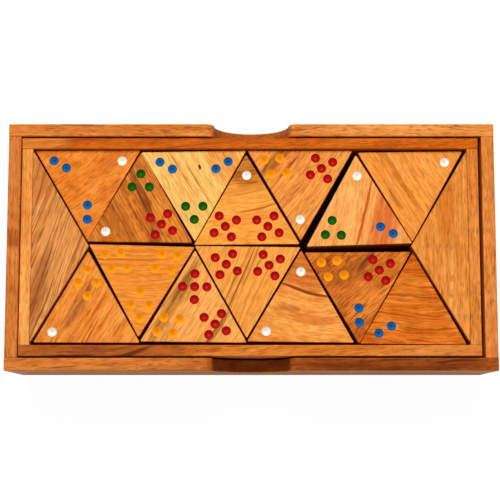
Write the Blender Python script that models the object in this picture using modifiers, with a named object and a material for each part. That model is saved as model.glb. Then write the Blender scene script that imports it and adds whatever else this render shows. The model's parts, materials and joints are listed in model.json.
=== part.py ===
"""Triangular domino set: 56 wooden tiles, four layers deep, in a tray that stands in its slide-over case.

Lengths are in metres. +Z is up, +X runs along the case and -Y is the side that faces the viewer.
The origin is at the middle of the case's underside.
"""

import collections
import itertools
import math

import bmesh
import bpy
from mathutils import Matrix, Vector

# Fits shared by all pieces
GLUE_GAP = 0.0003
CUT_OVERRUN = 0.0001
EDGE_BEVEL = 0.0005

# Tile
TILE_SIDE = 0.0497
TILE_THICKNESS = 0.010
TILE_CORNER_RADIUS = 0.0005
TILE_EDGE_BEVEL = 0.0003
TILE_HEIGHT = TILE_SIDE * math.sqrt(3) / 2
TILE_CIRCUMRADIUS = TILE_SIDE / math.sqrt(3)
TILE_INRADIUS = TILE_CIRCUMRADIUS / 2

# Drilled pips. A place is a pair of shares of the tile's side: the first is the distance from the
# sharp corner along the line to the tile's middle, and the second is the distance to the side of that
# line.
PIP_DIAMETER = 0.0044
PIP_DEPTH = 0.0013
PIP_PLACE_SHARES = {
    0: (),
    1: ((0.20, 0.0),),
    2: ((0.20, 0.0), (0.337, 0.0)),
    3: ((0.208, 0.0), (0.335, 0.083), (0.335, -0.083)),
    4: ((0.179, 0.0), (0.30, 0.087), (0.30, -0.087), (0.425, 0.0)),
    5: ((0.22, 0.0), (0.343, 0.0), (0.466, 0.0), (0.343, 0.116), (0.343, -0.116)),
}
SHOWN_PIP_SIDES = 12
HIDDEN_PIP_SIDES = 6

# Stack
TILES_PER_ROW = 7
LAYERS = 4
LAYER_PITCH = TILE_THICKNESS + GLUE_GAP
JOINED_PITCH = TILE_THICKNESS - CUT_OVERRUN
LOOSE_COLUMNS = 6
ROW_CLEARANCE = 0.0072
DEPTH_CLEARANCE = 0.0071
TILE_DROP = 0.002

# Tray
TRAY_WALL = 0.0052
TRAY_FLOOR = 0.0035
TRAY_RABBET = 0.0025
CAVITY_LENGTH = (TILES_PER_ROW + 1) * TILE_SIDE / 2 + ROW_CLEARANCE
CAVITY_WIDTH = 2 * TILE_HEIGHT + DEPTH_CLEARANCE
CAVITY_DEPTH = LAYERS * LAYER_PITCH + TILE_DROP
TRAY_LENGTH = CAVITY_LENGTH + 2 * TRAY_WALL
TRAY_WIDTH = CAVITY_WIDTH + 2 * TRAY_WALL
TRAY_HEIGHT = TRAY_FLOOR + CAVITY_DEPTH
WEDGE_REACH = CAVITY_WIDTH / 2 * math.tan(math.radians(30))

# Case
CASE_WALL = 0.006
CASE_PANEL = 0.004
CASE_RABBET = 0.003
CASE_CLEARANCE_X = 0.002
CASE_CLEARANCE_Y = 0.0016
CASE_RIM_RISE = 0.0005
NOTCH_WIDTH = 0.0355
NOTCH_DEPTH = 0.0215
NOTCH_LIP_RADIUS = 0.004
CASE_INNER_LENGTH = TRAY_LENGTH + CASE_CLEARANCE_X
CASE_INNER_WIDTH = TRAY_WIDTH + CASE_CLEARANCE_Y
CASE_HEIGHT = CASE_PANEL + GLUE_GAP + TRAY_HEIGHT + CASE_RIM_RISE

# Where the tray stands: the shares of the clearance that are left free at its left and at its front
TRAY_LEFT_SHARE = 0.2
TRAY_FRONT_SHARE = 0.5

# The columns as they lie, from left to right. A column has the share of the row's clearance to its
# left, the share of the clearance across that it keeps from its long wall, its turn in degrees, its
# wood, and the values of its top tile read clockwise from the corner that points away from its base.
BACK_ROW_SHARES = (
    (0.150, 0.059, -0.1, "amber", (2, 2, 1)),
    (0.180, 0.185, -0.2, "russet", (3, 5, 1)),
    (0.266, 0.126, 0.5, "straw", (3, 2, 2)),
    (0.276, 0.342, 0.0, "honey", (1, 5, 5)),
    (0.370, 0.070, -0.4, "amber", (1, 4, 5)),
    (0.724, 0.376, 1.3, "straw", (1, 2, 3)),
    (0.766, 0.149, 0.2, "honey", (0, 0, 1)),
)
FRONT_ROW_SHARES = (
    (0.221, 0.190, 0.3, "amber", (4, 0, 1)),
    (0.250, 0.556, -1.1, "amber", (4, 4, 4)),
    (0.298, 0.228, -1.2, "straw", (5, 5, 4)),
    (0.328, 0.489, -1.2, "honey", (0, 5, 5)),
    (0.363, 0.228, -0.2, "honey", (1, 0, 1)),
    (0.679, 0.110, 0.9, "russet", (2, 4, 5)),
    (0.795, 0.092, 0.0, "russet", (0, 0, 2)),
)

# Colours
PAINT_COLOURS = {
    1: (0.86, 0.86, 0.84),
    2: (0.02, 0.10, 0.50),
    3: (0.02, 0.26, 0.10),
    4: (0.86, 0.40, 0.02),
    5: (0.60, 0.01, 0.02),
}
PAINT_ROUGHNESS = 0.25
WOOD_ROUGHNESS = 0.42
TILE_WOODS = {
    "amber": (0.82, 0.24, 0.034),
    "honey": (0.91, 0.33, 0.058),
    "straw": (0.94, 0.43, 0.11),
    "russet": (0.68, 0.16, 0.018),
}
CASE_WOOD = (0.69, 0.20, 0.037)
TRAY_WOOD = (0.73, 0.22, 0.038)
FLOOR_WOOD = (0.30, 0.091, 0.021)


# The collections of the parts and the cutters, and the paint of each value
Bench = collections.namedtuple("Bench", "parts cutters paints")


def principled(name, colour, roughness):
    """A non-metallic surface of one colour."""
    material = bpy.data.materials.new(name)
    material.use_nodes = True
    shader = material.node_tree.nodes["Principled BSDF"]
    shader.inputs["Base Color"].default_value = (*colour, 1)
    shader.inputs["Roughness"].default_value = roughness
    shader.inputs["Metallic"].default_value = 0
    return material


def collection(name):
    """A new collection in the scene."""
    made = bpy.data.collections.new(name)
    bpy.context.scene.collection.children.link(made)
    return made


def placed(name, mesh, where, parent, location, turn=0):
    """An object of this mesh at a place in its parent, turned about Z."""
    obj = bpy.data.objects.new(name, mesh)
    where.objects.link(obj)
    obj.parent = parent
    obj.location = location
    obj.rotation_euler = (0, 0, turn)
    return obj


def empty(name, where, location):
    """A frame that carries one moving group."""
    return placed(name, None, where, None, location)


def mesh_from(bm, name):
    """The mesh that a bmesh holds, with its faces pointing out."""
    bmesh.ops.recalc_face_normals(bm, faces=bm.faces)
    mesh = bpy.data.meshes.new(name)
    bm.to_mesh(mesh)
    bm.free()
    return mesh


def box_mesh(name, length, width, height):
    """A box that stands on its origin."""
    bm = bmesh.new()
    bmesh.ops.create_cube(bm, size=1)
    bmesh.ops.scale(bm, verts=bm.verts, vec=(length, width, height))
    bmesh.ops.translate(bm, verts=bm.verts, vec=(0, 0, height / 2))
    return mesh_from(bm, name)


def slab_mesh(name, outline, thickness, stand=False):
    """A flat outline, extruded evenly about its plane. A standing slab has its outline in X and Z."""
    curve = bpy.data.curves.new(name, "CURVE")
    curve.dimensions = "2D"
    curve.fill_mode = "BOTH"
    curve.extrude = thickness / 2
    spline = curve.splines.new("POLY")
    spline.points.add(len(outline) - 1)
    spline.use_cyclic_u = True
    for point, (x, y) in zip(spline.points, outline):
        point.co = (x, y, 0, 1)
    holder = bpy.data.objects.new(name, curve)
    bpy.context.scene.collection.objects.link(holder)
    graph = bpy.context.evaluated_depsgraph_get()
    source = bpy.data.meshes.new_from_object(holder.evaluated_get(graph))
    bpy.data.objects.remove(holder)
    bm = bmesh.new()
    bm.from_mesh(source)
    bpy.data.meshes.remove(source)
    bmesh.ops.remove_doubles(bm, verts=bm.verts, dist=CUT_OVERRUN)
    bmesh.ops.dissolve_limit(bm, angle_limit=math.radians(1), verts=bm.verts, edges=bm.edges)
    if stand:
        bmesh.ops.rotate(bm, verts=bm.verts, matrix=Matrix.Rotation(math.radians(90), 3, "X"))
    return mesh_from(bm, name)


def add_bevel(obj, width, segments=2):
    """Eases the sharp edges of a piece."""
    bevel = obj.modifiers.new("eased edges", "BEVEL")
    bevel.width = width
    bevel.segments = segments
    bevel.limit_method = "ANGLE"
    bevel.angle_limit = math.radians(60)


def add_cut(obj, cutter):
    """Cuts a piece with a hidden cutter, whose material the cut faces keep."""
    cut = obj.modifiers.new("cut by " + cutter.name, "BOOLEAN")
    cut.operation = "DIFFERENCE"
    cut.solver = "EXACT"
    cut.material_mode = "TRANSFER"
    cut.object = cutter


def as_cutter(obj):
    """Keeps a cutter out of renders and shows it as wire."""
    obj.hide_render = True
    obj.display_type = "WIRE"
    return obj


def arc(centre, radius, first_deg, last_deg, steps):
    """Points along an arc, both ends included. A pair as radius gives an ellipse."""
    reach = radius if isinstance(radius, tuple) else (radius, radius)
    angles = [math.radians(first_deg + (last_deg - first_deg) * n / steps) for n in range(steps + 1)]
    return [(centre[0] + reach[0] * math.cos(a), centre[1] + reach[1] * math.sin(a)) for a in angles]


def notched_outline(length, height):
    """A wall seen from its face: its top edge dips to a half-round thumb notch with rounded lips."""
    half = length / 2
    lip = NOTCH_LIP_RADIUS
    dip_height = NOTCH_DEPTH - lip
    shoulder = NOTCH_WIDTH / 2 + lip
    points = [(-half, 0), (half, 0), (half, height)]
    points += arc((shoulder, height - lip), lip, 90, 180, 4)
    points += arc((0, height - lip), (NOTCH_WIDTH / 2, dip_height), 0, -180, 24)[1:-1]
    points += arc((-shoulder, height - lip), lip, 0, 90, 4)
    points.append((-half, height))
    return points


def rabbet_cutter(name, cutters, parent, location, size):
    """A box that cuts the step in which a bottom panel lies."""
    length, width, height = size
    mesh = box_mesh(name, length, width, height + CUT_OVERRUN)
    below = Vector(location) - Vector((0, 0, CUT_OVERRUN))
    return as_cutter(placed(name, mesh, cutters, parent, below))


def box_walls(kind, frame, where, cutters, inner, wall, height, rabbet, panel, material, notched):
    """Four walls about the rabbet of a bottom panel. The short walls butt between the long ones."""
    inner_length, inner_width = inner
    length = inner_length + 2 * wall
    cutter_size = (inner_length + 2 * rabbet, inner_width + 2 * rabbet, panel + GLUE_GAP)
    cutter = rabbet_cutter(kind + "_rabbet", cutters, frame, (0, 0, 0), cutter_size)
    half_width = (inner_width + wall) / 2
    half_length = (inner_length + wall) / 2
    for side, y in (("front", -half_width), ("back", half_width)):
        name = f"{kind}_{side}_wall"
        if notched:
            mesh = slab_mesh(name, notched_outline(length, height), wall, stand=True)
        else:
            mesh = box_mesh(name, length, wall, height)
        dress(placed(name, mesh, where, frame, (0, y, 0)), material, cutter)
    for side, x in (("left", -half_length), ("right", half_length)):
        name = f"{kind}_{side}_wall"
        mesh = box_mesh(name, wall, inner_width - 2 * GLUE_GAP, height)
        dress(placed(name, mesh, where, frame, (x, 0, 0)), material, cutter)


def dress(obj, material, cutter=None):
    """Gives a piece of the case or tray its surface, its eased edges and its cut."""
    obj.data.materials.append(principled(f"{obj.name} wood", *material))
    add_bevel(obj, EDGE_BEVEL, 1)
    if cutter:
        add_cut(obj, cutter)
    return obj


def build_case(where, cutters):
    """The open case, with a thumb notch in each long wall."""
    frame = empty("case", where, (0, 0, 0))
    inner = (CASE_INNER_LENGTH, CASE_INNER_WIDTH)
    wood = (CASE_WOOD, WOOD_ROUGHNESS)
    box_walls(
        "case", frame, where, cutters, inner, CASE_WALL, CASE_HEIGHT, CASE_RABBET, CASE_PANEL, wood, True
    )
    reach = 2 * (CASE_RABBET - GLUE_GAP)
    mesh = box_mesh("case_panel", inner[0] + reach, inner[1] + reach, CASE_PANEL)
    dress(placed("case_panel", mesh, where, frame, (0, 0, 0)), (FLOOR_WOOD, WOOD_ROUGHNESS))


def tray_place():
    """Where the tray's middle stands in the case."""
    x = (TRAY_LEFT_SHARE - 0.5) * CASE_CLEARANCE_X
    y = (TRAY_FRONT_SHARE - 0.5) * CASE_CLEARANCE_Y
    return Vector((x, y, CASE_PANEL + GLUE_GAP))


def build_tray(where, cutters):
    """The plain tray, with a wedge block at each end that the slanted tiles lie against."""
    frame = empty("tray", where, tray_place())
    inner = (CAVITY_LENGTH, CAVITY_WIDTH)
    wood = (TRAY_WOOD, WOOD_ROUGHNESS)
    box_walls(
        "tray", frame, where, cutters, inner, TRAY_WALL, TRAY_HEIGHT, TRAY_RABBET, TRAY_FLOOR, wood, False
    )
    reach = 2 * (TRAY_RABBET - GLUE_GAP)
    mesh = box_mesh("tray_floor", inner[0] + reach, inner[1] + reach, TRAY_FLOOR)
    dress(placed("tray_floor", mesh, where, frame, (0, 0, 0)), (FLOOR_WOOD, WOOD_ROUGHNESS))
    height = CAVITY_DEPTH - GLUE_GAP
    middle = TRAY_FLOOR + GLUE_GAP + height / 2
    for name, side in (("left_wedge", -1), ("right_wedge", 1)):
        foot = side * (CAVITY_LENGTH / 2 - GLUE_GAP)
        tip = side * (CAVITY_LENGTH / 2 - WEDGE_REACH)
        half = CAVITY_WIDTH / 2 - GLUE_GAP
        mesh = slab_mesh(name, [(foot, -half), (foot, half), (tip, 0)], height)
        dress(placed(name, mesh, where, frame, (0, 0, middle)), wood)
    return frame


def blank_mesh(name):
    """A three-sided tile with rounded corners, one of them towards +Y, standing on its origin."""
    bm = bmesh.new()
    bmesh.ops.create_cone(
        bm,
        cap_ends=True,
        segments=3,
        radius1=TILE_CIRCUMRADIUS,
        radius2=TILE_CIRCUMRADIUS,
        depth=TILE_THICKNESS,
        matrix=Matrix.Translation((0, 0, TILE_THICKNESS / 2)),
    )
    upright = [e for e in bm.edges if abs(e.verts[0].co.z - e.verts[1].co.z) > TILE_THICKNESS / 2]
    tangent = TILE_CORNER_RADIUS / math.tan(math.radians(30))
    bmesh.ops.bevel(bm, geom=upright, offset=tangent, segments=2, profile=0.5, affect="EDGES")
    return mesh_from(bm, name)


def pip_mesh(name, values, top, sides):
    """The drill points for a tile's three values, read clockwise from +Y. Their index is their paint."""
    bm = bmesh.new()
    depth = PIP_DEPTH + CUT_OVERRUN
    radius = PIP_DIAMETER / 2 * depth / PIP_DEPTH
    for corner, value in enumerate(values):
        turn = Matrix.Rotation(-corner * math.radians(120), 4, "Z")
        for along_share, aside_share in PIP_PLACE_SHARES[value]:
            x = aside_share * TILE_SIDE
            y = TILE_CIRCUMRADIUS - along_share * TILE_SIDE
            middle = Matrix.Translation((x, y, top + CUT_OVERRUN - depth / 2))
            made = bmesh.ops.create_cone(
                bm, cap_ends=True, segments=sides, radius1=0, radius2=radius, depth=depth, matrix=turn @ middle
            )
            for face in {face for vert in made["verts"] for face in vert.link_faces}:
                face.material_index = value
    return mesh_from(bm, name)


def drill_pips(obj, values, top, sides, bench):
    """Drills and paints the pips in a tile's upper face."""
    if not any(values):
        return
    mesh = pip_mesh(obj.name + "_pips", values, top, sides)
    mesh.materials.append(obj.data.materials[0])
    for value in sorted(bench.paints):
        mesh.materials.append(bench.paints[value])
    add_cut(obj, as_cutter(placed(mesh.name, mesh, bench.cutters, obj, (0, 0, 0))))


def numbers(values):
    """A tile's three values in rising order, as its name writes them."""
    return "".join(str(value) for value in sorted(values))


def build_blank(name, wood, where, parent, location, turn):
    """A tile before it is drilled."""
    mesh = blank_mesh(name)
    mesh.materials.append(principled(name + " wood", TILE_WOODS[wood], WOOD_ROUGHNESS))
    obj = placed(name, mesh, where, parent, location, turn)
    add_bevel(obj, TILE_EDGE_BEVEL, 1)
    return obj


def build_tile(values, wood, sides, bench, parent, location, turn=0):
    """A loose tile that lies on the tray's floor or on the tile below it."""
    obj = build_blank("tile_" + numbers(values), wood, bench.parts, parent, location, turn)
    drill_pips(obj, values, TILE_THICKNESS, sides, bench)
    return obj


def build_joined_tiles(lower, upper, wood, bench, parent, location, turn):
    """The two lowest tiles of a column, joined face to face, with the groove of their eased edges."""
    name = f"tiles_{numbers(lower)}_{numbers(upper)}"
    obj = build_blank(name, wood, bench.parts, parent, location, turn)
    on_top = build_blank(name + "_upper", wood, bench.cutters, obj, (0, 0, JOINED_PITCH), 0)
    join = obj.modifiers.new("upper tile", "BOOLEAN")
    join.operation = "UNION"
    join.solver = "EXACT"
    join.object = as_cutter(on_top)
    drill_pips(obj, upper, JOINED_PITCH + TILE_THICKNESS, HIDDEN_PIP_SIDES, bench)
    return obj


def hidden_triples(shown):
    """Every other tile of the set: three values from none to the highest, in rising order clockwise."""
    taken = {tuple(sorted(values)) for values in shown}
    values = range(len(PIP_PLACE_SHARES))
    return [t for t in itertools.combinations_with_replacement(values, 3) if t not in taken]


def columns():
    """Each column's middle, turn, wood and top values. Every other tile has its base along the wall."""
    for shares, side in ((BACK_ROW_SHARES, 1), (FRONT_ROW_SHARES, -1)):
        for n, (row_share, wall_share, turn_deg, wood, values) in enumerate(shares):
            base_at_wall = n % 2 == 0
            points_back = base_at_wall == (side < 0)
            inset = TILE_INRADIUS if base_at_wall else TILE_CIRCUMRADIUS
            x = (n + 1) * TILE_SIDE / 2 + row_share * ROW_CLEARANCE - CAVITY_LENGTH / 2
            y = side * (CAVITY_WIDTH / 2 - wall_share * DEPTH_CLEARANCE - inset)
            yield x, y, math.radians(turn_deg + (0 if points_back else 180)), wood, values


def build_columns(tray, parts, cutters):
    """Fourteen columns of four tiles. In some of them the two lowest tiles are joined in one node."""
    paints = {v: principled(f"paint {v}", c, PAINT_ROUGHNESS) for v, c in PAINT_COLOURS.items()}
    bench = Bench(parts, cutters, paints)
    places = list(columns())
    hidden = hidden_triples([place[-1] for place in places])
    above = (0, 0, LAYER_PITCH)
    for n, (x, y, turn, wood, values) in enumerate(places):
        first, second, third = hidden[(LAYERS - 1) * n : (LAYERS - 1) * (n + 1)]
        foot = (x, y, TRAY_FLOOR + GLUE_GAP)
        if n < LOOSE_COLUMNS:
            lowest = build_tile(first, wood, HIDDEN_PIP_SIDES, bench, tray, foot, turn)
            below = build_tile(second, wood, HIDDEN_PIP_SIDES, bench, lowest, above)
            rise = above
        else:
            below = build_joined_tiles(first, second, wood, bench, tray, foot, turn)
            rise = (0, 0, JOINED_PITCH + LAYER_PITCH)
        under = build_tile(third, wood, HIDDEN_PIP_SIDES, bench, below, rise)
        build_tile(values, wood, SHOWN_PIP_SIDES, bench, under, above)


def main():
    for obj in list(bpy.data.objects):
        bpy.data.objects.remove(obj)
    parts = collection("triangular_domino_set")
    cutters = collection("cutters")
    build_case(parts, cutters)
    tray = build_tray(parts, cutters)
    build_columns(tray, parts, cutters)


main()
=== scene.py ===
"""The looks of the triangular domino set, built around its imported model.

Lengths are in metres, angles in degrees, and colours are sRGB from 0 to 255.
+X is to the right of the photograph, +Y is towards its top, and +Z is up.
"""

import json
import math
from collections import namedtuple

import bmesh
import bpy
import numpy as np
from mathutils import Matrix, Vector
from mathutils.geometry import tessellate_polygon


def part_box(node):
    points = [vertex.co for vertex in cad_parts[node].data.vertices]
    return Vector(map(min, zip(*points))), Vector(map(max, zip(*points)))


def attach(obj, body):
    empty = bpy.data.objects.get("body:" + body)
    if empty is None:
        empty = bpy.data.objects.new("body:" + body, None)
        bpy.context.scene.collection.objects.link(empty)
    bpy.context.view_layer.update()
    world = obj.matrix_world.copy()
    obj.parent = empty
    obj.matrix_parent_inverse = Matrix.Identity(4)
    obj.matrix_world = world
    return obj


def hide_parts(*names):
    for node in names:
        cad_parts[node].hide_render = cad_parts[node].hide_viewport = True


MM = 0.001

# Tiles, as the CAD has them
TILE_SIDE = 0.0497
TILE_THICKNESS = 0.010
TILE_CORNER_RADIUS = 0.0005
TILE_BEVEL = 0.0003
PIP_RADIUS = 0.0022
PIP_DEPTH = 0.0013

# Walls, as the CAD has them
GLUE_GAP = 0.0003
CASE_PANEL = 0.004
CASE_RABBET = 0.003
TRAY_PANEL = 0.0035
TRAY_RABBET = 0.0025
NOTCH_WIDTH = 0.0355
NOTCH_DEPTH = 0.0215
NOTCH_LIP_RADIUS = 0.004

# Rounded edges, and how far a piece grows into the narrow gaps that stand for glue and contact
TILE_ROUNDING = 0.00026
TILE_SWELL = 0.00018
WALL_ROUNDING = 0.0005
END_ROUNDING = 0.0001
GLUE_FILL = 0.00025
WEDGE_ROUNDING = 0.0002
WEDGE_SWELL = 0.0002
PIP_TIP_ROUNDING = 0.00025

# How finely the shapes are built
PIP_RING_SHARES = (0.88, 0.72, 0.54, 0.36, 0.18)
PIP_SIDES = 36
CORNER_STEPS = 5
ROUNDING_STEPS = 4
NOTCH_STEPS = 56
LIP_STEPS = 8
SHARP_ANGLE = 26
SAME_HEIGHT = 0.00003

# A tile this many times as thick as a single one is a joined pair
PAIR_FROM = 1.5

# The share of a rounding, at each of its ends, that gets neither the edges' painted shade nor their painted
# highlight and wear
EDGE_BAND_FROM = 0.05

# Camera
CAMERA_PLACE = (-0.0006, -0.0840, 0.6487)
CAMERA_TILT = 7.15
CAMERA_LENS = 92.3
CAMERA_SHIFT = 0.03

# Light
AMBIENT = 0.43
KEY_PLACE = (-0.15, 0.95, 1.45)
KEY_SIZE = 0.9
KEY_POWER = 24
FLOOR_RADIUS = 4
FLOOR_SIDES = 64
FLOOR_DROP = 0.0003
FLOOR_COLOUR = (238, 238, 238)
FLOOR_SHARE = 0.12
FLOOR_GLOW = 1.08

# Varnish and paint
VARNISH_SPECULAR = 0.06
PAINT_SPECULAR = 0.08
VARNISH_ROUGHNESS = (0.42, 0.58)
PAINT_ROUGHNESS = (0.22, 0.34)
NOISE_ROUGHNESS = 0.55

# The range that most of a noise lies in
NOISE_RANGE = (0.3, 0.7)

# Bumps: how deep they are, how strong, and how much of the grain's are its long lines
GRAIN_DEPTH = 0.00012
GRAIN_BUMP = 0.5
LINE_HEIGHT = 0.4
RIPPLE_DEPTH = 0.00008
RIPPLE_BUMP = 0.4

# Upright faces: the painted shade on their sides, the painted light on a paler front face and the painted
# shade in a notch;
# their tones, and the part of the normal at which a tone begins and is whole
SIDE_SHADE_TURN = (0.8, 0.2)
SIDE_SHADE_STRENGTH = 0.5
TILE_FLANK_SHADE = (146, 48, 22)
WEDGE_FLANK_SHADE = (150, 62, 24)
FLANK_SHADE_STRENGTH = 0.75
FRONT_LIGHT_TURN = (-0.7, -0.95)
FRONT_LIGHT_STRENGTH = 0.75
FRONT_LIGHT_GRAIN = (0.62, 1.12)
NOTCH_SHADE_TONE = (128, 62, 16)
NOTCH_SHADE_TURN = (0.6, 0.4)
NOTCH_SHADE_STRENGTH = 0.6
NOTCH_SHADE_REACH = 0.006

# Edges: the darker tone of a tile's, painted shade of the gaps, and the mottling at which they get a lighter
# tone, a painted highlight that also stands for wear
EDGE_SHADE_TONE = (122, 40, 14)
EDGE_SHADE_STRENGTH = 0.6
HIGHLIGHT_AND_WEAR_RANGE = (0.50, 0.64)
HIGHLIGHT_AND_WEAR_STRENGTH = 0.45

# Paint in a pip: the size of its pools, and the depths at which the tip's painted shade and highlight and the
# rim's painted shade begin and are whole
POOL_SIZE = 0.0016
POOL_RANGE = (0.62, 0.38)
POOL_SHADE = 0.90
TIP_RANGE = (0.62, 0.95)
RIM_RANGE = (0.30, 0.05)

# Where the dark, middle and light tones of a wood lie in its grain
TONE_STOPS = (0.28, 0.5, 0.72)
TONE_SPREAD = 1.15

# The size of each part of the grain in metres: along it and across it
FIGURE_SIZE = (0.070, 0.0065)
LINE_SIZE = (0.040, 0.0015)
PORE_SIZE = (0.0040, 0.0007)
GRIT_SIZE = (0.0048, 0.0008)
STRAND_SIZE = (0.030, 0.0016)
WANDER_SIZE = (0.050, 0.006)
MOTTLE_SIZE = 0.0060
BEND_SIZE = 0.040
WAVE_SIZE = 0.009

# Pores and grit: where they begin, how dark they are, and how a pore tints red, green and blue
PORE_RANGE = (0.60, 0.69)
PORE_SHADE = 0.42
PORE_TINT = (1.0, 0.8, 0.6)
GRIT_SHADE = 0.15

# Marks: how far out they fade, and how much the strands break up the wide ones, in millimetres
MARK_FADE = (1.12, 0.60)
STREAKED_WIDTH = 2.5
STREAK_RANGE = (0.40, 0.60)
STREAK_LEAST = 0.68

# Thin dark lines: how far apart they are, how far they wander, where they show and where they break
THIN_SPACING = 0.0017
WANDER = 4.0
THIN_SHADE = 0.66
CREST_RANGE = (0.30, 0.46)
BREAK_RANGE = (0.38, 0.58)
THIN_LEAST = 0.15

# How far each seed moves the grain, and the seeds of the pieces of the box
SEED_STEP = (0.37, 0.11, 0)
WALL_SEED = 100
PANEL_SEED = 90
WEDGE_SEED = 5

# The colour of a paint, of the tip of a pip, painted shade where darker and a painted highlight where
# lighter, and of its thin rim, with painted shade where darker
Paint = namedtuple("Paint", "colour tip rim")

PAINTS = {
    1: Paint((255, 252, 240), (222, 222, 224), (236, 226, 208)),
    2: Paint((14, 104, 176), (0, 66, 122), (0, 70, 126)),
    3: Paint((16, 96, 4), (44, 104, 34), (0, 58, 0)),
    4: Paint((255, 156, 6), (238, 122, 0), (255, 160, 18)),
    5: Paint((188, 6, 10), (202, 34, 38), (136, 0, 4)),
}

# A mark in the wood: its middle in millimetres from the middle of the piece, the direction of its
# length, its length and width in millimetres, its colour and how strong it is
Mark = namedtuple("Mark", "x y angle length width colour strength")

# A wood: its dark, middle and light tone, the direction of its grain, how strong the broad figure, the
# long lines, the pores and the mottling are, how far the grain bends and how far it ripples, both in
# millimetres, how strong its thin dark lines are, the paler tone painted on its front face as light where
# that differs, and its marks
Wood = namedtuple("Wood", "dark middle light angle figure lines pores mottle bend wave thin side marks")


def wood(
    dark, middle, light, angle, figure, lines, pores, mottle, bend, marks=(), wave=0.4, thin=0.0, side=None
):
    """A wood that ripples a little and has no thin lines, unless it says so."""
    marks = [Mark(*mark) for mark in marks]
    return Wood(dark, middle, light, angle, figure, lines, pores, mottle, bend, wave, thin, side, marks)


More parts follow.
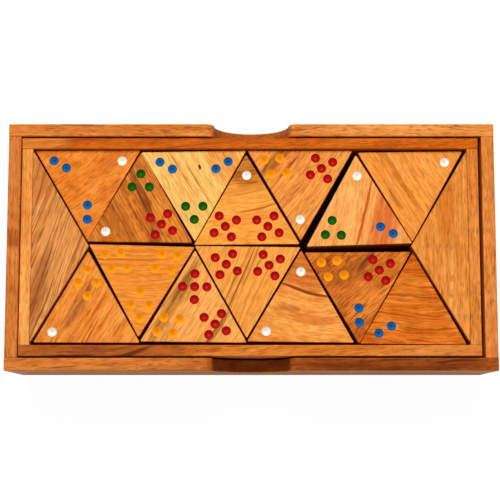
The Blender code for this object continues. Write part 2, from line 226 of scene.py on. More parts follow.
# The tiles of the top layer
TOP_WOODS = {
    "tile_122": wood(
        (206, 104, 22), (230, 126, 34), (241, 144, 54), 40, 0.5, 0.6, 0.45, 1.0, 5,
        ((9, 9, 35, 26, 9, (208, 102, 24), 0.5), (-12, 6, 120, 22, 8, (226, 118, 20), 0.5)),
        wave=1.4,
    ),
    "tile_135": wood(
        (168, 80, 14), (210, 114, 32), (236, 143, 54), -61, 1.0, 0.9, 0.6, 0.7, 4,
        ((0.4, 9.0, -66, 34, 4.4, (118, 50, 6), 1.0), (6.5, -6, -68, 24, 4, (150, 74, 18), 0.8),
         (-12, -3, -55, 30, 13, (182, 92, 22), 0.75), (-14, -13, -60, 18, 8, (208, 106, 12), 0.6),
         (12, -2, -58, 30, 8, (236, 142, 46), 0.7)),
        thin=0.45,
    ),
    "tile_223": wood(
        (240, 172, 84), (250, 190, 98), (255, 202, 112), -60, 0.6, 0.5, 0.30, 0.3, 2,
        ((15, 8, -60, 36, 17, (242, 154, 66), 1.0), (2.4, 7.2, -75, 2.9, 1.5, (84, 18, 2), 1.0),
         (0, 2, -58, 18, 0.9, (178, 104, 38), 0.8), (-3.5, 0, -58, 12, 0.8, (190, 118, 46), 0.7),
         (5, -6, -58, 14, 0.8, (196, 122, 50), 0.7), (-9, 9, -60, 12, 0.8, (200, 130, 56), 0.6)),
        thin=0.30,
    ),
    "tile_155": wood(
        (230, 136, 42), (246, 157, 58), (251, 170, 76), 7, 0.6, 0.5, 0.20, 0.6, 5,
        ((0, 22.5, 8, 26, 22, (170, 86, 14), 1.0), (5.2, 3.4, 12, 22, 1.3, (196, 100, 28), 1.0),
         (2, -1.5, 9, 44, 8, (240, 142, 50), 0.7), (-2, 12, 8, 22, 6, (226, 140, 44), 0.6)),
    ),
    "tile_145": wood(
        (222, 124, 46), (244, 150, 62), (253, 170, 84), 53, 0.7, 0.8, 0.40, 0.5, 3,
        ((-12, 9.9, 46, 24, 6.0, (150, 76, 16), 1.0), (-5.5, 7.0, 50, 18, 1.2, (150, 70, 16), 0.9),
         (-16, 12, 50, 16, 4, (226, 126, 38), 0.4), (6, 2, 54, 24, 1.0, (200, 104, 40), 0.7),
         (0, 10, 52, 16, 4, (226, 122, 42), 0.5), (-3, -6, 52, 16, 1.0, (206, 112, 46), 0.7)),
        thin=0.35,
    ),
    "tile_123": wood(
        (236, 148, 68), (249, 168, 86), (255, 182, 100), 78, 0.6, 0.6, 0.25, 0.3, 2,
        ((13.2, -2, 77, 56, 15, (222, 110, 44), 1.0), (3.0, 1.0, 77, 44, 1.5, (196, 92, 28), 1.0),
         (0, 20, 80, 16, 8, (240, 150, 62), 0.6)),
        thin=0.15,
    ),
    "tile_001": wood(
        (226, 130, 42), (245, 150, 58), (253, 166, 76), -57, 0.6, 0.8, 0.35, 0.4, 3,
        ((-5.5, 1.5, -60, 28, 2.6, (208, 114, 28), 0.9), (-8, -8, -58, 14, 2.0, (190, 106, 40), 0.9),
         (2, -9, -56, 18, 2.4, (220, 120, 26), 0.7)),
        thin=0.25,
    ),
    "tile_014": wood(
        (218, 118, 36), (245, 146, 54), (252, 164, 74), 61, 0.7, 0.9, 0.40, 0.5, 3,
        ((-4.5, 3, 62, 32, 7.0, (180, 94, 38), 0.95), (5.5, 4, 60, 18, 1.6, (204, 90, 16), 0.9),
         (2.5, -9, 64, 18, 1.0, (186, 90, 22), 0.9), (8, -4, 60, 18, 1.2, (206, 104, 28), 0.8),
         (-14, -9, 62, 18, 6, (220, 116, 30), 0.6)),
        thin=0.30,
    ),
    "tile_444": wood(
        (222, 120, 26), (240, 141, 46), (249, 154, 62), -1, 0.6, 0.9, 0.20, 0.3, 2,
        ((-6, 8, 0, 44, 1.2, (216, 112, 20), 0.8), (4, 12, -1, 40, 2.0, (226, 124, 24), 0.7),
         (3, -12, 0, 20, 12, (248, 150, 68), 0.5)),
        thin=0.25,
    ),
    "tile_455": wood(
        (226, 146, 64), (251, 167, 80), (255, 180, 94), 59, 0.5, 0.6, 0.35, 0.3, 2,
        ((-10, 4, 60, 54, 7.0, (176, 108, 38), 1.0), (-6, 12, 58, 22, 2.4, (150, 88, 28), 0.9),
         (11.5, -8, 58, 20, 3.2, (136, 80, 22), 1.0), (-12, -11, 59, 14, 7, (210, 138, 64), 0.6),
         (8, -12, 58, 12, 1.4, (150, 88, 30), 0.9)),
        thin=0.20,
    ),
    "tile_055": wood(
        (230, 140, 52), (247, 159, 66), (253, 171, 80), 67, 0.5, 0.7, 0.25, 0.3, 2,
        ((-3.5, -2, 67, 48, 1.0, (160, 88, 26), 1.0), (-7.5, -4, 67, 24, 0.9, (176, 96, 32), 0.9),
         (1.5, 5, 67, 30, 0.8, (180, 104, 36), 0.8), (6.5, 10, 64, 18, 0.8, (190, 112, 40), 0.7)),
        thin=0.40,
    ),
    "tile_011": wood(
        (216, 118, 40), (243, 153, 66), (251, 174, 86), -10, 0.6, 0.5, 0.25, 0.6, 6,
        ((0, 20, -14, 34, 19, (206, 104, 34), 1.0), (1.9, 10.1, -17, 32, 1.8, (146, 64, 12), 1.0),
         (-6, 2.5, -8, 13, 4, (190, 102, 26), 0.9), (2, -3, -12, 34, 6, (218, 120, 42), 0.8)),
    ),
    "tile_245": wood(
        (168, 76, 10), (212, 112, 32), (236, 138, 52), 42, 0.9, 0.7, 0.60, 0.9, 4,
        ((-5, 5, 34, 26, 9, (160, 76, 14), 0.8), (3, 10, 50, 14, 3.2, (104, 44, 8), 0.9),
         (3, -11, 44, 24, 15, (238, 136, 50), 0.9), (0, -14, 48, 16, 1.2, (160, 80, 30), 0.9),
         (2, -19, 50, 12, 1.2, (160, 80, 30), 0.9)),
        thin=0.35,
    ),
    "tile_002": wood(
        (188, 78, 0), (226, 118, 26), (246, 148, 58), -3, 0.6, 1.4, 0.20, 0.4, 4,
        ((4, -3, -6, 26, 8, (210, 98, 12), 0.5), (-3, 14, 0, 16, 14, (234, 134, 40), 0.5),
         (12, 0, -62, 40, 5, (206, 100, 16), 0.4)),
        wave=2.2, thin=0.60,
    ),
}

# The tiles below, by material slot, and how far the tone and the grain of each may lie from these
TILE_WOODS = {
    "tile_amber": wood((200, 100, 32), (234, 134, 50), (247, 153, 72), 20, 0.9, 0.6, 0.5, 0.5, 4),
    "tile_honey": wood((214, 120, 44), (245, 155, 68), (253, 172, 88), -40, 0.8, 0.6, 0.5, 0.4, 4),
    "tile_straw": wood((214, 134, 58), (249, 174, 92), (255, 192, 112), 62, 0.7, 0.6, 0.7, 0.4, 3),
    "tile_russet": wood((164, 76, 18), (215, 112, 36), (234, 134, 54), 8, 1.0, 0.8, 0.5, 0.7, 5),
}
LIGHT_SPREAD = 0.06
ANGLE_SPREAD = 40

# The case, the tray and the wedge blocks. The middle of a box piece's marks is measured from the
# middle of the box.
BOX_WOODS = {
    "case_back_wall": wood(
        (194, 102, 32), (222, 131, 52), (238, 152, 76), -2, 0.8, 0.8, 0.6, 0.4, 4,
        ((-70, 59, 0, 100, 24, (204, 110, 34), 0.9), (-95, 59, -4, 50, 1.6, (150, 66, 16), 0.9),
         (20, 56, 3, 26, 1.2, (170, 84, 26), 0.7),
         (75, 59, 0, 100, 14, (240, 154, 80), 0.6)),
    ),
    "case_front_wall": wood(
        (122, 52, 8), (172, 84, 24), (206, 112, 40), 3, 0.9, 0.8, 0.5, 0.6, 4,
        ((-76, -56, 0, 116, 30, (220, 126, 52), 1.0), (66, -56, 2, 100, 30, (122, 50, 6), 0.95),
         (-88, -57, 6, 18, 1.0, (160, 80, 28), 0.8), (96, -54, 3, 30, 1.4, (96, 38, 6), 0.8)),
        # The paler tone of its front face is painted light
        side=(224, 158, 104),
    ),
    "case_left_wall": wood(
        (184, 94, 30), (208, 116, 46), (224, 136, 66), 90, 0.7, 0.8, 0.5, 0.5, 4,
        ((-112, 40, 90, 30, 12, (212, 122, 54), 0.6), (-112, 4, 90, 10, 14, (168, 78, 22), 0.9)),
    ),
    "case_right_wall": wood((200, 106, 36), (222, 129, 54), (236, 148, 74), 90, 0.7, 0.8, 0.5, 0.5, 4),
    "tray_back_wall": wood(
        (172, 72, 0), (196, 89, 0), (212, 107, 12), 5, 1.0, 0.9, 0.4, 0.5, 5,
        ((-102, 50, 0, 34, 14, (222, 130, 46), 0.9),),
    ),
    "tray_front_wall": wood(
        (190, 96, 26), (214, 118, 38), (232, 142, 64), 6, 1.0, 0.9, 0.4, 0.5, 5,
        ((-74, -50, 4, 104, 18, (150, 72, 24), 1.0), (-57, -50.5, 18, 24, 2.2, (104, 44, 12), 0.9),
         (-84, -51.5, 6, 28, 1.6, (112, 50, 18), 0.8), (-44, -50, 12, 16, 7, (196, 100, 30), 0.7),
         (88, -50, 4, 50, 14, (222, 136, 62), 0.6)),
    ),
    "tray_left_wall": wood((214, 120, 42), (236, 150, 66), (246, 168, 88), 90, 0.7, 0.8, 0.3, 0.4, 3),
    "tray_right_wall": wood((204, 112, 36), (226, 134, 54), (240, 154, 76), 90, 0.7, 0.8, 0.5, 0.4, 3),
    "left_wedge": wood(
        (182, 102, 40), (222, 142, 70), (238, 162, 88), 71, 0.4, 0.5, 0.3, 0.2, 3,
        ((-99, 34, 74, 34, 11, (196, 106, 34), 0.8), (-101, -24, 76, 50, 9, (166, 88, 36), 0.9)),
        wave=0.6, thin=0.85,
    ),
    "right_wedge": wood(
        (204, 114, 34), (231, 141, 56), (245, 161, 78), 89, 0.7, 0.8, 0.4, 0.3, 3,
        ((92, 22, 90, 60, 9, (212, 114, 28), 0.8),),
        thin=0.15,
    ),
    "case_panel": wood((112, 58, 22), (152, 86, 40), (178, 108, 58), 0, 1.0, 0.7, 0.5, 0.4, 5),
    "tray_floor": wood((112, 58, 22), (152, 86, 40), (178, 108, 58), 0, 1.0, 0.7, 0.5, 0.4, 5),
}


def linear(colour):
    """An sRGB colour from 0 to 255 as linear values with alpha."""
    shares = [c / 255 for c in colour]
    return [s / 12.92 if s <= 0.04045 else ((s + 0.055) / 1.055) ** 2.4 for s in shares] + [1]


def add(tree, kind, inputs=None, **settings):
    """Adds a shader node. An input is a value or another node's output."""
    made = tree.nodes.new("ShaderNode" + kind)
    for name, value in settings.items():
        setattr(made, name, value)
    for key, value in (inputs or {}).items():
        if isinstance(value, bpy.types.NodeSocket):
            tree.links.new(value, made.inputs[key])
        else:
            made.inputs[key].default_value = value
    return made.outputs


def noise(tree, vector, size, detail=2.0, output="Fac"):
    """Noise with cells of this size: one length, or one along the grain and one across it."""
    along, across = size if isinstance(size, tuple) else (size, size)
    scale = (1 / along, 1 / across, 1 / across)
    scaled = add(tree, "Mapping", {"Vector": vector, "Scale": scale})["Vector"]
    inputs = {"Vector": scaled, "Scale": 1.0, "Detail": detail, "Roughness": NOISE_ROUGHNESS}
    return add(tree, "TexNoise", inputs)[output]


def math_node(tree, operation, *values):
    """The result of one calculation."""
    return add(tree, "Math", dict(enumerate(values)), operation=operation)["Value"]


def remap(tree, value, low, high, to_low=0.0, to_high=1.0, smooth=True):
    """A value carried over from one range to another, and held at its ends."""
    inputs = {"Value": value, "From Min": low, "From Max": high, "To Min": to_low, "To Max": to_high}
    return add(tree, "MapRange", inputs, interpolation_type="SMOOTHSTEP" if smooth else "LINEAR")["Result"]


def blend(tree, factor, first, second, mode="MIX"):
    """A mix of two colours."""
    made = tree.nodes.new("ShaderNodeMix")
    made.data_type = "RGBA"
    made.blend_type = mode
    for index, value in ((0, factor), (6, first), (7, second)):
        if isinstance(value, bpy.types.NodeSocket):
            tree.links.new(value, made.inputs[index])
        else:
            made.inputs[index].default_value = value
    return made.outputs[2]


def material_of(name, specular):
    """A new material, its node tree and its shader."""
    material = bpy.data.materials.new(name)
    material.use_nodes = True
    shader = material.node_tree.nodes["Principled BSDF"]
    shader.inputs["Specular IOR Level"].default_value = specular
    return material, material.node_tree, shader


def with_marks(tree, look, colour, bent, drift, strands):
    """A wood's colour with its marks, the wide ones broken up by the strands of its grain."""
    streaks = remap(tree, strands, *STREAK_RANGE, STREAK_LEAST, 1.0)
    for mark in look.marks:
        middle = (mark.x * MM + drift, mark.y * MM + drift, 0)
        moved = add(tree, "VectorMath", {0: bent, 1: middle}, operation="SUBTRACT")["Vector"]
        turn = (0, 0, -math.radians(mark.angle))
        spun = add(tree, "Mapping", {"Vector": moved, "Rotation": turn})["Vector"]
        size = (2 / (mark.length * MM), 2 / (mark.width * MM), 0)
        shares = add(tree, "VectorMath", {0: spun, 1: size}, operation="MULTIPLY")["Vector"]
        far = add(tree, "VectorMath", {0: shares}, operation="LENGTH")["Value"]
        near = remap(tree, far, *MARK_FADE, 0.0, mark.strength)
        if mark.width > STREAKED_WIDTH:
            near = math_node(tree, "MULTIPLY", near, streaks)
        colour = blend(tree, near, colour, linear(mark.colour))
    return colour


def with_thin_lines(tree, look, colour, grain, strands):
    """A wood's colour with evenly spaced dark lines, which wander a little and break here and there."""
    wander = noise(tree, grain, WANDER_SIZE, 0.0)
    across = add(tree, "SeparateXYZ", {0: grain})["Y"]
    spaced = math_node(tree, "DIVIDE", across, THIN_SPACING)
    phase = math_node(tree, "MULTIPLY_ADD", wander, WANDER, spaced)
    crest = remap(tree, math_node(tree, "PINGPONG", phase, 0.5), *CREST_RANGE)
    unbroken = remap(tree, strands, *BREAK_RANGE, THIN_LEAST, look.thin)
    tone = [c * THIN_SHADE for c in look.dark]
    return blend(tree, math_node(tree, "MULTIPLY", crest, unbroken), colour, linear(tone))


def wood_material(name, look, seed, flank_shade=None, rim_height=None):
    """Varnished wood with broad figure, fine lines, open pores, mottling and marks.

    Its upright faces are darkened as painted shade, towards a flank tone where one is given, its front face
    may be paler as painted light, it is darkened as painted shade in a notch below the height of its rim, and
    its rounded edges get a painted highlight that also stands for wear.
    """
    material, tree, shader = material_of(name, VARNISH_SPECULAR)
    place = add(tree, "TexCoord")["Object"]
    bent = place
    drift = 0
    for amount, size in ((look.bend * MM, BEND_SIZE), (look.wave * MM, WAVE_SIZE)):
        sway = noise(tree, place, size, 1.0, "Color")
        reach = {0: sway, 1: (amount, amount, amount), 2: bent}
        bent = add(tree, "VectorMath", reach, operation="MULTIPLY_ADD")["Vector"]
        drift += amount / 2
    turn = (0, 0, -math.radians(look.angle))
    turned = {"Vector": bent, "Rotation": turn, "Location": [seed * step for step in SEED_STEP]}
    grain = add(tree, "Mapping", turned)["Vector"]
    figure = noise(tree, grain, FIGURE_SIZE, 3.0)
    lines = noise(tree, grain, LINE_SIZE, 3.0)
    pores = noise(tree, grain, PORE_SIZE, 0.0)
    grit = noise(tree, grain, GRIT_SIZE, 1.0)
    mottle = noise(tree, grain, MOTTLE_SIZE, 3.0)
    parts = (look.figure, look.lines, look.mottle)
    spread = TONE_SPREAD / math.hypot(*parts)
    tone = 0.5 - sum(parts) * spread / 2
    for part, source in zip(parts, (figure, lines, mottle)):
        tone = math_node(tree, "MULTIPLY_ADD", source, part * spread, tone)
    ramp = tree.nodes.new("ShaderNodeValToRGB")
    ramp.color_ramp.elements.new(TONE_STOPS[1])
    tones = (look.dark, look.middle, look.light)
    for element, stop, colour in zip(ramp.color_ramp.elements, TONE_STOPS, tones):
        element.position = stop
        element.color = linear(colour)
    tree.links.new(tone, ramp.inputs["Fac"])
    colour = ramp.outputs["Color"]
    strands = noise(tree, grain, STRAND_SIZE, 0.0)
    colour = with_marks(tree, look, colour, bent, drift, strands)
    open_pores = math_node(tree, "MULTIPLY", remap(tree, pores, *PORE_RANGE), look.pores)
    shade = [PORE_SHADE * tint for tint in PORE_TINT] + [1]
    colour = blend(tree, open_pores, colour, blend(tree, 1.0, colour, shade, "MULTIPLY"))
    if look.thin:
        colour = with_thin_lines(tree, look, colour, grain, strands)
    speck = remap(tree, grit, *NOISE_RANGE, 1 - GRIT_SHADE, 1 + GRIT_SHADE, False)
    colour = add(tree, "VectorMath", {0: colour, "Scale": speck}, operation="SCALE")["Vector"]
    facing = add(tree, "SeparateXYZ", {0: add(tree, "TexCoord")["Normal"]})
    strength = FLANK_SHADE_STRENGTH if flank_shade else SIDE_SHADE_STRENGTH
    # Upright faces darkened by their normal, towards the flank tone or the wood's dark tone: painted shade
    side = remap(tree, math_node(tree, "ABSOLUTE", facing["Z"]), *SIDE_SHADE_TURN, 0.0, strength)
    colour = blend(tree, side, colour, linear(flank_shade or look.dark))
    if look.side:
        # The front face made paler with a tone of its own: painted light
        front = remap(tree, facing["Y"], *FRONT_LIGHT_TURN, 0.0, FRONT_LIGHT_STRENGTH)
        contrast = remap(tree, tone, TONE_STOPS[0], TONE_STOPS[-1], *FRONT_LIGHT_GRAIN, False)
        inputs = {0: linear(look.side)[:3], "Scale": math_node(tree, "MULTIPLY", contrast, speck)}
        pale = add(tree, "VectorMath", inputs, operation="SCALE")["Vector"]
        colour = blend(tree, front, colour, pale)
    # Darker in the notch below the rim: painted shade
    if rim_height:
        height = add(tree, "SeparateXYZ", {0: place})["Z"]
        below = remap(tree, height, rim_height, rim_height - NOTCH_SHADE_REACH, 0.0, NOTCH_SHADE_STRENGTH)
        within = remap(tree, math_node(tree, "ABSOLUTE", facing["Y"]), *NOTCH_SHADE_TURN)
        colour = blend(tree, math_node(tree, "MULTIPLY", below, within), colour, linear(NOTCH_SHADE_TONE))
    edge = add(tree, "Attribute", attribute_name="edge")["Fac"]
    # Tile and wedge edges darker red-brown: painted shade of the gaps between them
    if flank_shade:
        colour = blend(tree, math_node(tree, "MULTIPLY", edge, EDGE_SHADE_STRENGTH), colour, linear(EDGE_SHADE_TONE))
    # Lighter mottled edges: a painted highlight that also stands for wear
    highlight_and_wear = remap(tree, mottle, *HIGHLIGHT_AND_WEAR_RANGE, 0.0, HIGHLIGHT_AND_WEAR_STRENGTH)
    edge_highlight_and_wear = math_node(tree, "MULTIPLY", edge, highlight_and_wear)
    colour = blend(tree, edge_highlight_and_wear, colour, linear(look.light))
    tree.links.new(colour, shader.inputs["Base Color"])
    tree.links.new(remap(tree, mottle, *NOISE_RANGE, *VARNISH_ROUGHNESS), shader.inputs["Roughness"])
    raised = math_node(tree, "MULTIPLY", lines, LINE_HEIGHT)
    height = math_node(tree, "MULTIPLY_ADD", open_pores, -1.0, raised)
    bump = add(tree, "Bump", {"Height": height, "Distance": GRAIN_DEPTH, "Strength": GRAIN_BUMP})["Normal"]
    tree.links.new(bump, shader.inputs["Normal"])
    return material


def paint_material(value, paint):
    """Glossy paint that has pooled a little unevenly in the drilled pips, with painted shade and highlight at
    the tip and painted shade at the rim.
    """
    material, tree, shader = material_of(f"paint_{value}", PAINT_SPECULAR)
    place = add(tree, "TexCoord")["Object"]
    pooled = noise(tree, place, POOL_SIZE, 2.0)
    darker = [c * POOL_SHADE for c in linear(paint.colour)[:3]] + [1]
    shade = blend(tree, remap(tree, pooled, *POOL_RANGE), linear(paint.colour), darker)
    deep = add(tree, "Attribute", attribute_name="deep")["Fac"]
    # The tip's colour: painted shade in the darker tips, a painted highlight in the lighter red and green
    # ones
    shade = blend(tree, remap(tree, deep, *TIP_RANGE), shade, linear(paint.tip))
    # The rim's colour: thin paint, with painted shade where it is darker
    shade = blend(tree, remap(tree, deep, *RIM_RANGE), shade, linear(paint.rim))
    tree.links.new(shade, shader.inputs["Base Color"])
    tree.links.new(remap(tree, pooled, *NOISE_RANGE, *PAINT_ROUGHNESS), shader.inputs["Roughness"])
    bump = add(tree, "Bump", {"Height": pooled, "Distance": RIPPLE_DEPTH, "Strength": RIPPLE_BUMP})["Normal"]
    tree.links.new(bump, shader.inputs["Normal"])
    return material


def rounded(corners, radii, steps):
    """An anticlockwise outline with its convex corners rounded, each by its own radius."""
    points = []
    for n, (here, radius) in enumerate(zip(corners, radii)):
        back = (corners[n - 1] - here).normalized()
        ahead = (corners[(n + 1) % len(corners)] - here).normalized()
        if not radius or back.cross(ahead) > 0:
            points.append(here)
            continue
        half = back.angle(ahead) / 2
        middle = here + (back + ahead).normalized() * radius / math.sin(half)
        start = here + back * radius / math.tan(half) - middle
        sweep = math.pi - 2 * half
        points += [middle + Matrix.Rotation(sweep * k / steps, 2) @ start for k in range(steps + 1)]
    return points


def inset(outline, distance, end_share=1.0):
    """An anticlockwise outline moved inwards along its mitres, and its ends only by a share of that."""
    moved = []
    for n, here in enumerate(outline):
        before = (here - outline[n - 1]).normalized()
        after = (outline[(n + 1) % len(outline)] - here).normalized()
        first = Vector((-before.y, before.x))
        second = Vector((-after.y, after.x))
        step = (first + second) * distance / (1 + first.dot(second))
        if abs(here.x) == abs(outline[0].x):
            step.x *= end_share
        moved.append(here + step)
    return moved


def edge_rings(levels, rounding):
    """The inset and the height of each ring round a stack of slabs with rounded edges."""
    rings = []
    for low, high in levels:
        for k in range(ROUNDING_STEPS + 1):
            angle = math.radians(90 * k / ROUNDING_STEPS)
            rings.append((rounding * (1 - math.sin(angle)), low + rounding * (1 - math.cos(angle))))
        for k in range(ROUNDING_STEPS + 1):
            angle = math.radians(90 * k / ROUNDING_STEPS)
            rings.append((rounding * (1 - math.cos(angle)), high - rounding * (1 - math.sin(angle))))
    return [ring for n, ring in enumerate(rings) if n == 0 or ring != rings[n - 1]]


def bridge(bm, first, second, material_index=0):
    """Quads between two rings of as many points."""
    for n in range(len(first)):
        corners = (first[n - 1], first[n], second[n], second[n - 1])
        bm.faces.new(corners).material_index = material_index


def pip_depth(share):
    """How deep a pip is at this share of its radius. It is a cone with a rounded tip."""
    slope = (PIP_DEPTH + PIP_TIP_ROUNDING) ** 2 - PIP_TIP_ROUNDING**2
    return PIP_DEPTH + PIP_TIP_ROUNDING - math.sqrt(slope * share**2 + PIP_TIP_ROUNDING**2)


def slab_mesh(name, outline, levels, rounding, pips=(), end_share=1.0):
    """A stack of slabs of one outline with rounded edges, and with drilled pips in its upper face."""
    bm = bmesh.new()
    edge = bm.verts.layers.float.new("edge")
    deep = bm.verts.layers.float.new("deep")
    rings = []
    for distance, height in edge_rings(levels, rounding):
        ring = [bm.verts.new((*point, height)) for point in inset(outline, distance, end_share)]
        share = distance / max(rounding, SAME_HEIGHT)
        for vert in ring:
            vert[edge] = float(EDGE_BAND_FROM < share < 1 - EDGE_BAND_FROM)
        rings.append(ring)
    bm.faces.new(list(reversed(rings[0])))
    for lower, upper in zip(rings, rings[1:]):
        bridge(bm, lower, upper)
    loops = [rings[-1]]
    top = levels[-1][1]
    for x, y, value in pips:
        circle = [math.tau * n / PIP_SIDES for n in range(PIP_SIDES)]
        spokes = [Vector((math.cos(a), math.sin(a))) for a in circle]
        rim = [bm.verts.new((x + s.x * PIP_RADIUS, y + s.y * PIP_RADIUS, top)) for s in spokes]
        loops.append(rim)
        outer = rim
        for share in PIP_RING_SHARES:
            radius = PIP_RADIUS * share
            depth = pip_depth(share)
            inner = [bm.verts.new((x + s.x * radius, y + s.y * radius, top - depth)) for s in spokes]
            for vert in inner:
                vert[deep] = depth / PIP_DEPTH
            bridge(bm, outer, inner, value)
            outer = inner
        tip = bm.verts.new((x, y, top - PIP_DEPTH))
        tip[deep] = 1
        for n in range(PIP_SIDES):
            bm.faces.new((outer[n - 1], outer[n], tip)).material_index = value
    if pips:
        flat = [vert for loop in loops for vert in loop]
        for corners in tessellate_polygon([[vert.co for vert in loop] for loop in loops]):
            bm.faces.new([flat[n] for n in corners])
    else:
        bm.faces.new(rings[-1])
    bmesh.ops.recalc_face_normals(bm, faces=bm.faces)
    for face in bm.faces:
        face.smooth = True
    mesh = bpy.data.meshes.new(name)
    bm.to_mesh(mesh)
    bm.free()
    return mesh


def piece(name, mesh, node, materials, place=(0, 0, 0)):
    """A piece of the scene that stands for a CAD node."""
    obj = bpy.data.objects.new(name, mesh)
    bpy.context.scene.collection.objects.link(obj)
    obj.location = place
    for material in materials:
        mesh.materials.append(material)
    mesh.set_sharp_from_angle(angle=math.radians(SHARP_ANGLE))
    obj.modifiers.new("even shading", "WEIGHTED_NORMAL").keep_sharp = True
    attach(obj, BODY_OF[node])
    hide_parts(node)
    return obj


def read_tile(node):
    """A CAD tile's middle, its turn in radians, its height and its pips.

    Each pip has its place, and the value of its corner, which is the number of pips there.
    """
    points = np.unique([tuple(vert.co) for vert in node.data.vertices], axis=0)
    foot, top = points[:, 2].min(), points[:, 2].max()
    rim = points[abs(points[:, 2] - (top - TILE_BEVEL)) < SAME_HEIGHT][:, :2]
    middle = rim.mean(axis=0)
    corner = max(rim - middle, key=np.linalg.norm)
    turn = math.atan2(corner[1], corner[0]) - math.pi / 2
    tips = points[abs(points[:, 2] - (top - PIP_DEPTH)) < SAME_HEIGHT][:, :2] - middle
    angles = [math.pi / 2 + turn + math.tau * n / 3 for n in range(3)]
    towards = [(math.cos(angle), math.sin(angle)) for angle in angles]
    corners = [max(range(3), key=lambda n: tip @ towards[n]) for tip in tips]
    pips = [(*tip, corners.count(corner)) for tip, corner in zip(tips, corners)]
    return Vector((*middle, foot)), turn, top - foot, pips


def shifted(look, seed):
    """A tile's wood with its tones and its grain a little away from the others of its kind."""
    chance = np.random.default_rng(seed)
    light = 1 + LIGHT_SPREAD * chance.uniform(-1, 1)
    angle = look.angle + chance.uniform(-ANGLE_SPREAD, ANGLE_SPREAD)
    tones = (look.dark, look.middle, look.light)
    dark, middle, pale = [tuple(min(255, c * light) for c in tone) for tone in tones]
    return look._replace(dark=dark, middle=middle, light=pale, angle=angle)


def build_tiles(nodes, paints):
    """The tiles, a joined pair as two slabs with a seam between them."""
    for seed, name in enumerate(sorted(n for n in nodes if n.startswith("tile"))):
        middle, turn, height, pips = read_tile(nodes[name])
        # A triangle's corners move out twice as far as its sides
        reach = Vector((0, TILE_SIDE / math.sqrt(3) + 2 * TILE_SWELL))
        corners = [Matrix.Rotation(turn + math.tau * n / 3, 2) @ reach for n in range(3)]
        outline = rounded(corners, [TILE_CORNER_RADIUS] * 3, CORNER_STEPS)
        levels = [(0, height)]
        if height > PAIR_FROM * TILE_THICKNESS:
            levels = [(0, height / 2), (height / 2, height)]
        look = TOP_WOODS.get(name) or shifted(TILE_WOODS[SLOT_OF[name]], seed)
        mesh = slab_mesh(name, outline, levels, TILE_ROUNDING, pips)
        # The tile's flanks get painted shade
        materials = [wood_material(name, look, seed, TILE_FLANK_SHADE), *paints]
        piece(name + "_finish", mesh, name, materials, middle)


def wall_section(low, high, panel, rabbet, inner_side):
    """A wall's cross-section with a rounded top, and with the step for its bottom panel on the inner side."""
    (a, foot), (b, top) = low, high
    step = panel + GLUE_GAP
    if inner_side > 0:
        notch = ((b - rabbet, foot), (b - rabbet, foot + step), (b, foot + step))
        corners = ((a, foot), *notch, (b, top), (a, top))
    else:
        notch = ((a, foot + step), (a + rabbet, foot + step))
        corners = ((a + rabbet, foot), (b, foot), (b, top), (a, top), *notch)
    radii = [WALL_ROUNDING if height == top else 0 for side, height in corners]
    return rounded([Vector(corner) for corner in corners], radii, CORNER_STEPS)


def arc(middle, reach, first, last, steps):
    """Points along part of an ellipse, in degrees anticlockwise."""
    angles = [math.radians(first + (last - first) * n / steps) for n in range(steps + 1)]
    return [Vector((middle[0] + reach[0] * math.cos(a), middle[1] + reach[1] * math.sin(a))) for a in angles]


def notched_outline(half, top):
    """A wall seen from its face, with its thumb notch."""
    lip = NOTCH_LIP_RADIUS
    shoulder = NOTCH_WIDTH / 2 + lip
    points = [Vector((-half, 0)), Vector((half, 0)), Vector((half, top))]
    points += arc((shoulder, top - lip), (lip, lip), 90, 180, LIP_STEPS)
    points += arc((0, top - lip), (NOTCH_WIDTH / 2, NOTCH_DEPTH - lip), 0, -180, NOTCH_STEPS)[1:-1]
    points += arc((-shoulder, top - lip), (lip, lip), 0, 90, LIP_STEPS)
    points.append(Vector((-half, top)))
    return points


def build_walls():
    """The walls of the case and of the tray."""
    across_y = Matrix.Rotation(math.radians(90), 4, "X")
    across_x = Matrix(((0, 0, 1, 0), (1, 0, 0, 0), (0, 1, 0, 0), (0, 0, 0, 1)))
    boxes = (("case", CASE_PANEL, CASE_RABBET), ("tray", TRAY_PANEL, TRAY_RABBET))
    sides = (("left", 1), ("right", -1), ("front", 1), ("back", -1))
    for kind, panel, rabbet in boxes:
        for n, (side, inner_side) in enumerate(sides):
            name = f"{kind}_{side}_wall"
            low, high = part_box(name)
            notched = kind == "case" and side in ("front", "back")
            # The notched walls get painted shade in their notch, below this height
            rim_height = high.z if notched else None
            look = wood_material(name, BOX_WOODS[name], WALL_SEED + n, rim_height=rim_height)
            if side in ("left", "right"):
                outline = wall_section((low.x, low.z), (high.x, high.z), panel, rabbet, inner_side)
                reach = high.y - low.y + 2 * GLUE_FILL
                mesh = slab_mesh(name, outline, [(0, reach)], END_ROUNDING)
                mesh.transform(Matrix.Translation((0, high.y + GLUE_FILL, 0)) @ across_y)
            elif kind == "tray":
                outline = wall_section((low.y, low.z), (high.y, high.z), panel, rabbet, inner_side)
                mesh = slab_mesh(name, outline, [(0, high.x - low.x)], END_ROUNDING)
                mesh.transform(Matrix.Translation((low.x, 0, 0)) @ across_x)
            else:
                outline = notched_outline(high.x, high.z)
                share = END_ROUNDING / WALL_ROUNDING
                mesh = slab_mesh(name, outline, [(0, high.y - low.y)], WALL_ROUNDING, end_share=share)
                mesh.transform(Matrix.Translation((0, high.y, 0)) @ across_y)
            obj = piece(name + "_finish", mesh, name, [look])
            if notched:
                cut_rabbet(obj, name, inner_side)


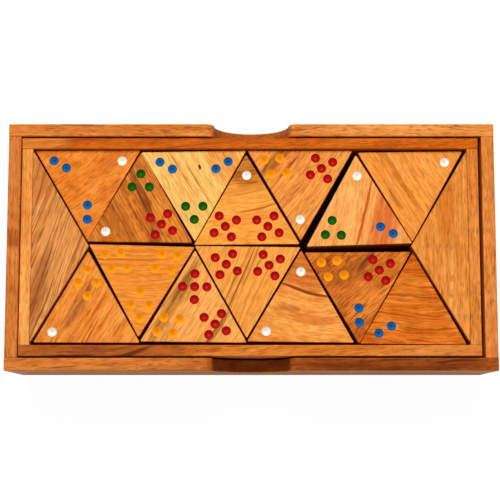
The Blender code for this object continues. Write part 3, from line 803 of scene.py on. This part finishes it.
def cut_rabbet(obj, node, inner_side):
    """Cuts the step for the bottom panel in a wall with a thumb notch."""
    low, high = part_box(node)
    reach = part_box("case_panel")[1].x + GLUE_GAP
    inner = high.y if inner_side > 0 else low.y
    near, far = sorted((inner - inner_side * CASE_RABBET, inner + inner_side * CASE_RABBET))
    corners = ((-reach, near), (reach, near), (reach, far), (-reach, far))
    outline = [Vector(corner) for corner in corners]
    mesh = slab_mesh("rabbet", outline, [(-CASE_PANEL, CASE_PANEL + GLUE_GAP)], 0.0)
    cutter = bpy.data.objects.new("rabbet", mesh)
    bpy.context.scene.collection.objects.link(cutter)
    cut = obj.modifiers.new("rabbet", "BOOLEAN")
    cut.object = cutter
    cut.solver = "EXACT"
    obj.modifiers.move(len(obj.modifiers) - 1, 0)
    with bpy.context.temp_override(object=obj):
        bpy.ops.object.modifier_apply(modifier=cut.name)
    bpy.data.objects.remove(cutter)


def build_wedges():
    """The wedge blocks at the ends of the tray."""
    for name, side in (("left_wedge", -1), ("right_wedge", 1)):
        low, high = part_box(name)
        foot = low.x - GLUE_FILL if side < 0 else high.x + GLUE_FILL
        tip = (high.x if side < 0 else low.x) - side * WEDGE_SWELL
        middle = (low.y + high.y) / 2
        corners = [Vector((foot, high.y)), Vector((foot, low.y)), Vector((tip, middle))]
        if side > 0:
            corners.reverse()
        outline = rounded(corners, [WEDGE_ROUNDING * 2] * 3, CORNER_STEPS)
        mesh = slab_mesh(name, outline, [(low.z, high.z)], WEDGE_ROUNDING)
        # The wedge's flanks get painted shade
        material = wood_material(name, BOX_WOODS[name], WEDGE_SEED + side, WEDGE_FLANK_SHADE)
        piece(name + "_finish", mesh, name, [material])


def build_stage():
    """A pale floor that shows white and keeps the shadow, a white world, and a soft lamp."""
    scene = bpy.context.scene
    bm = bmesh.new()
    bmesh.ops.create_circle(bm, cap_ends=True, segments=FLOOR_SIDES, radius=FLOOR_RADIUS)
    mesh = bpy.data.meshes.new("floor")
    bm.to_mesh(mesh)
    bm.free()
    floor = bpy.data.objects.new("floor", mesh)
    floor.location.z = -FLOOR_DROP
    scene.collection.objects.link(floor)
    material, tree, shader = material_of("floor", 0.0)
    shader.inputs["Base Color"].default_value = linear(FLOOR_COLOUR)
    shader.inputs["Roughness"].default_value = 1.0
    by_camera = add(tree, "LightPath")["Is Camera Ray"]
    seen = remap(tree, by_camera, 0.0, 1.0, 0.0, 1.0 - FLOOR_SHARE, False)
    white = add(tree, "Emission", {"Color": (1, 1, 1, 1), "Strength": FLOOR_GLOW})["Emission"]
    both = add(tree, "MixShader", {0: seen, 1: shader.outputs[0], 2: white})["Shader"]
    tree.links.new(both, tree.nodes["Material Output"].inputs["Surface"])
    mesh.materials.append(material)

    world = bpy.data.worlds.new("studio")
    world.use_nodes = True
    scene.world = world
    tree = world.node_tree
    seen = add(tree, "LightPath")
    direct = math_node(tree, "MAXIMUM", seen["Is Camera Ray"], AMBIENT)
    tree.links.new(direct, tree.nodes["Background"].inputs["Strength"])
    tree.nodes["Background"].inputs["Color"].default_value = (1, 1, 1, 1)

    lamp = bpy.data.lights.new("key", "AREA")
    lamp.shape = "DISK"
    lamp.size = KEY_SIZE
    lamp.energy = KEY_POWER
    key = bpy.data.objects.new("key", lamp)
    key.location = KEY_PLACE
    key.rotation_euler = Vector(KEY_PLACE).to_track_quat("Z", "Y").to_euler()
    scene.collection.objects.link(key)


def build_camera():
    """The camera of the photograph, shifted only as far as the raised poses allow."""
    data = bpy.data.cameras.new("camera")
    data.lens = CAMERA_LENS
    data.shift_y = CAMERA_SHIFT
    camera = bpy.data.objects.new("camera", data)
    camera.location = CAMERA_PLACE
    camera.rotation_euler = (math.radians(CAMERA_TILT), 0, 0)
    bpy.context.scene.collection.objects.link(camera)
    bpy.context.scene.camera = camera


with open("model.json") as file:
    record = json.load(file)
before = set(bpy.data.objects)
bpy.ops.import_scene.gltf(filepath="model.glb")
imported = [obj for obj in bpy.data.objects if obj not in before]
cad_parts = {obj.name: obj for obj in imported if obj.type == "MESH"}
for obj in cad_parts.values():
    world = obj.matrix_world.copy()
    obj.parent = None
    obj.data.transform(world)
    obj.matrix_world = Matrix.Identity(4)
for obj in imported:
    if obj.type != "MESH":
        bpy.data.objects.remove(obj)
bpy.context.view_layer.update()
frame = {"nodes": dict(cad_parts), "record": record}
record = frame["record"]
BODY_OF = {node: body for body, nodes in record["behaviour"]["bodies"].items() for node in nodes}
SLOT_OF = {subpart["node"]: subpart["material_slot"] for subpart in record["subparts"]}

build_camera()
build_stage()
build_tiles(frame["nodes"], [paint_material(value, paint) for value, paint in PAINTS.items()])
build_walls()
build_wedges()
for panel in ("case_panel", "tray_floor"):
    slots = frame["nodes"][panel].material_slots
    for n in range(len(slots)):
        slots[n].material = wood_material(panel, BOX_WOODS[panel], PANEL_SEED)

bpy.context.scene.view_settings.view_transform = "Standard"
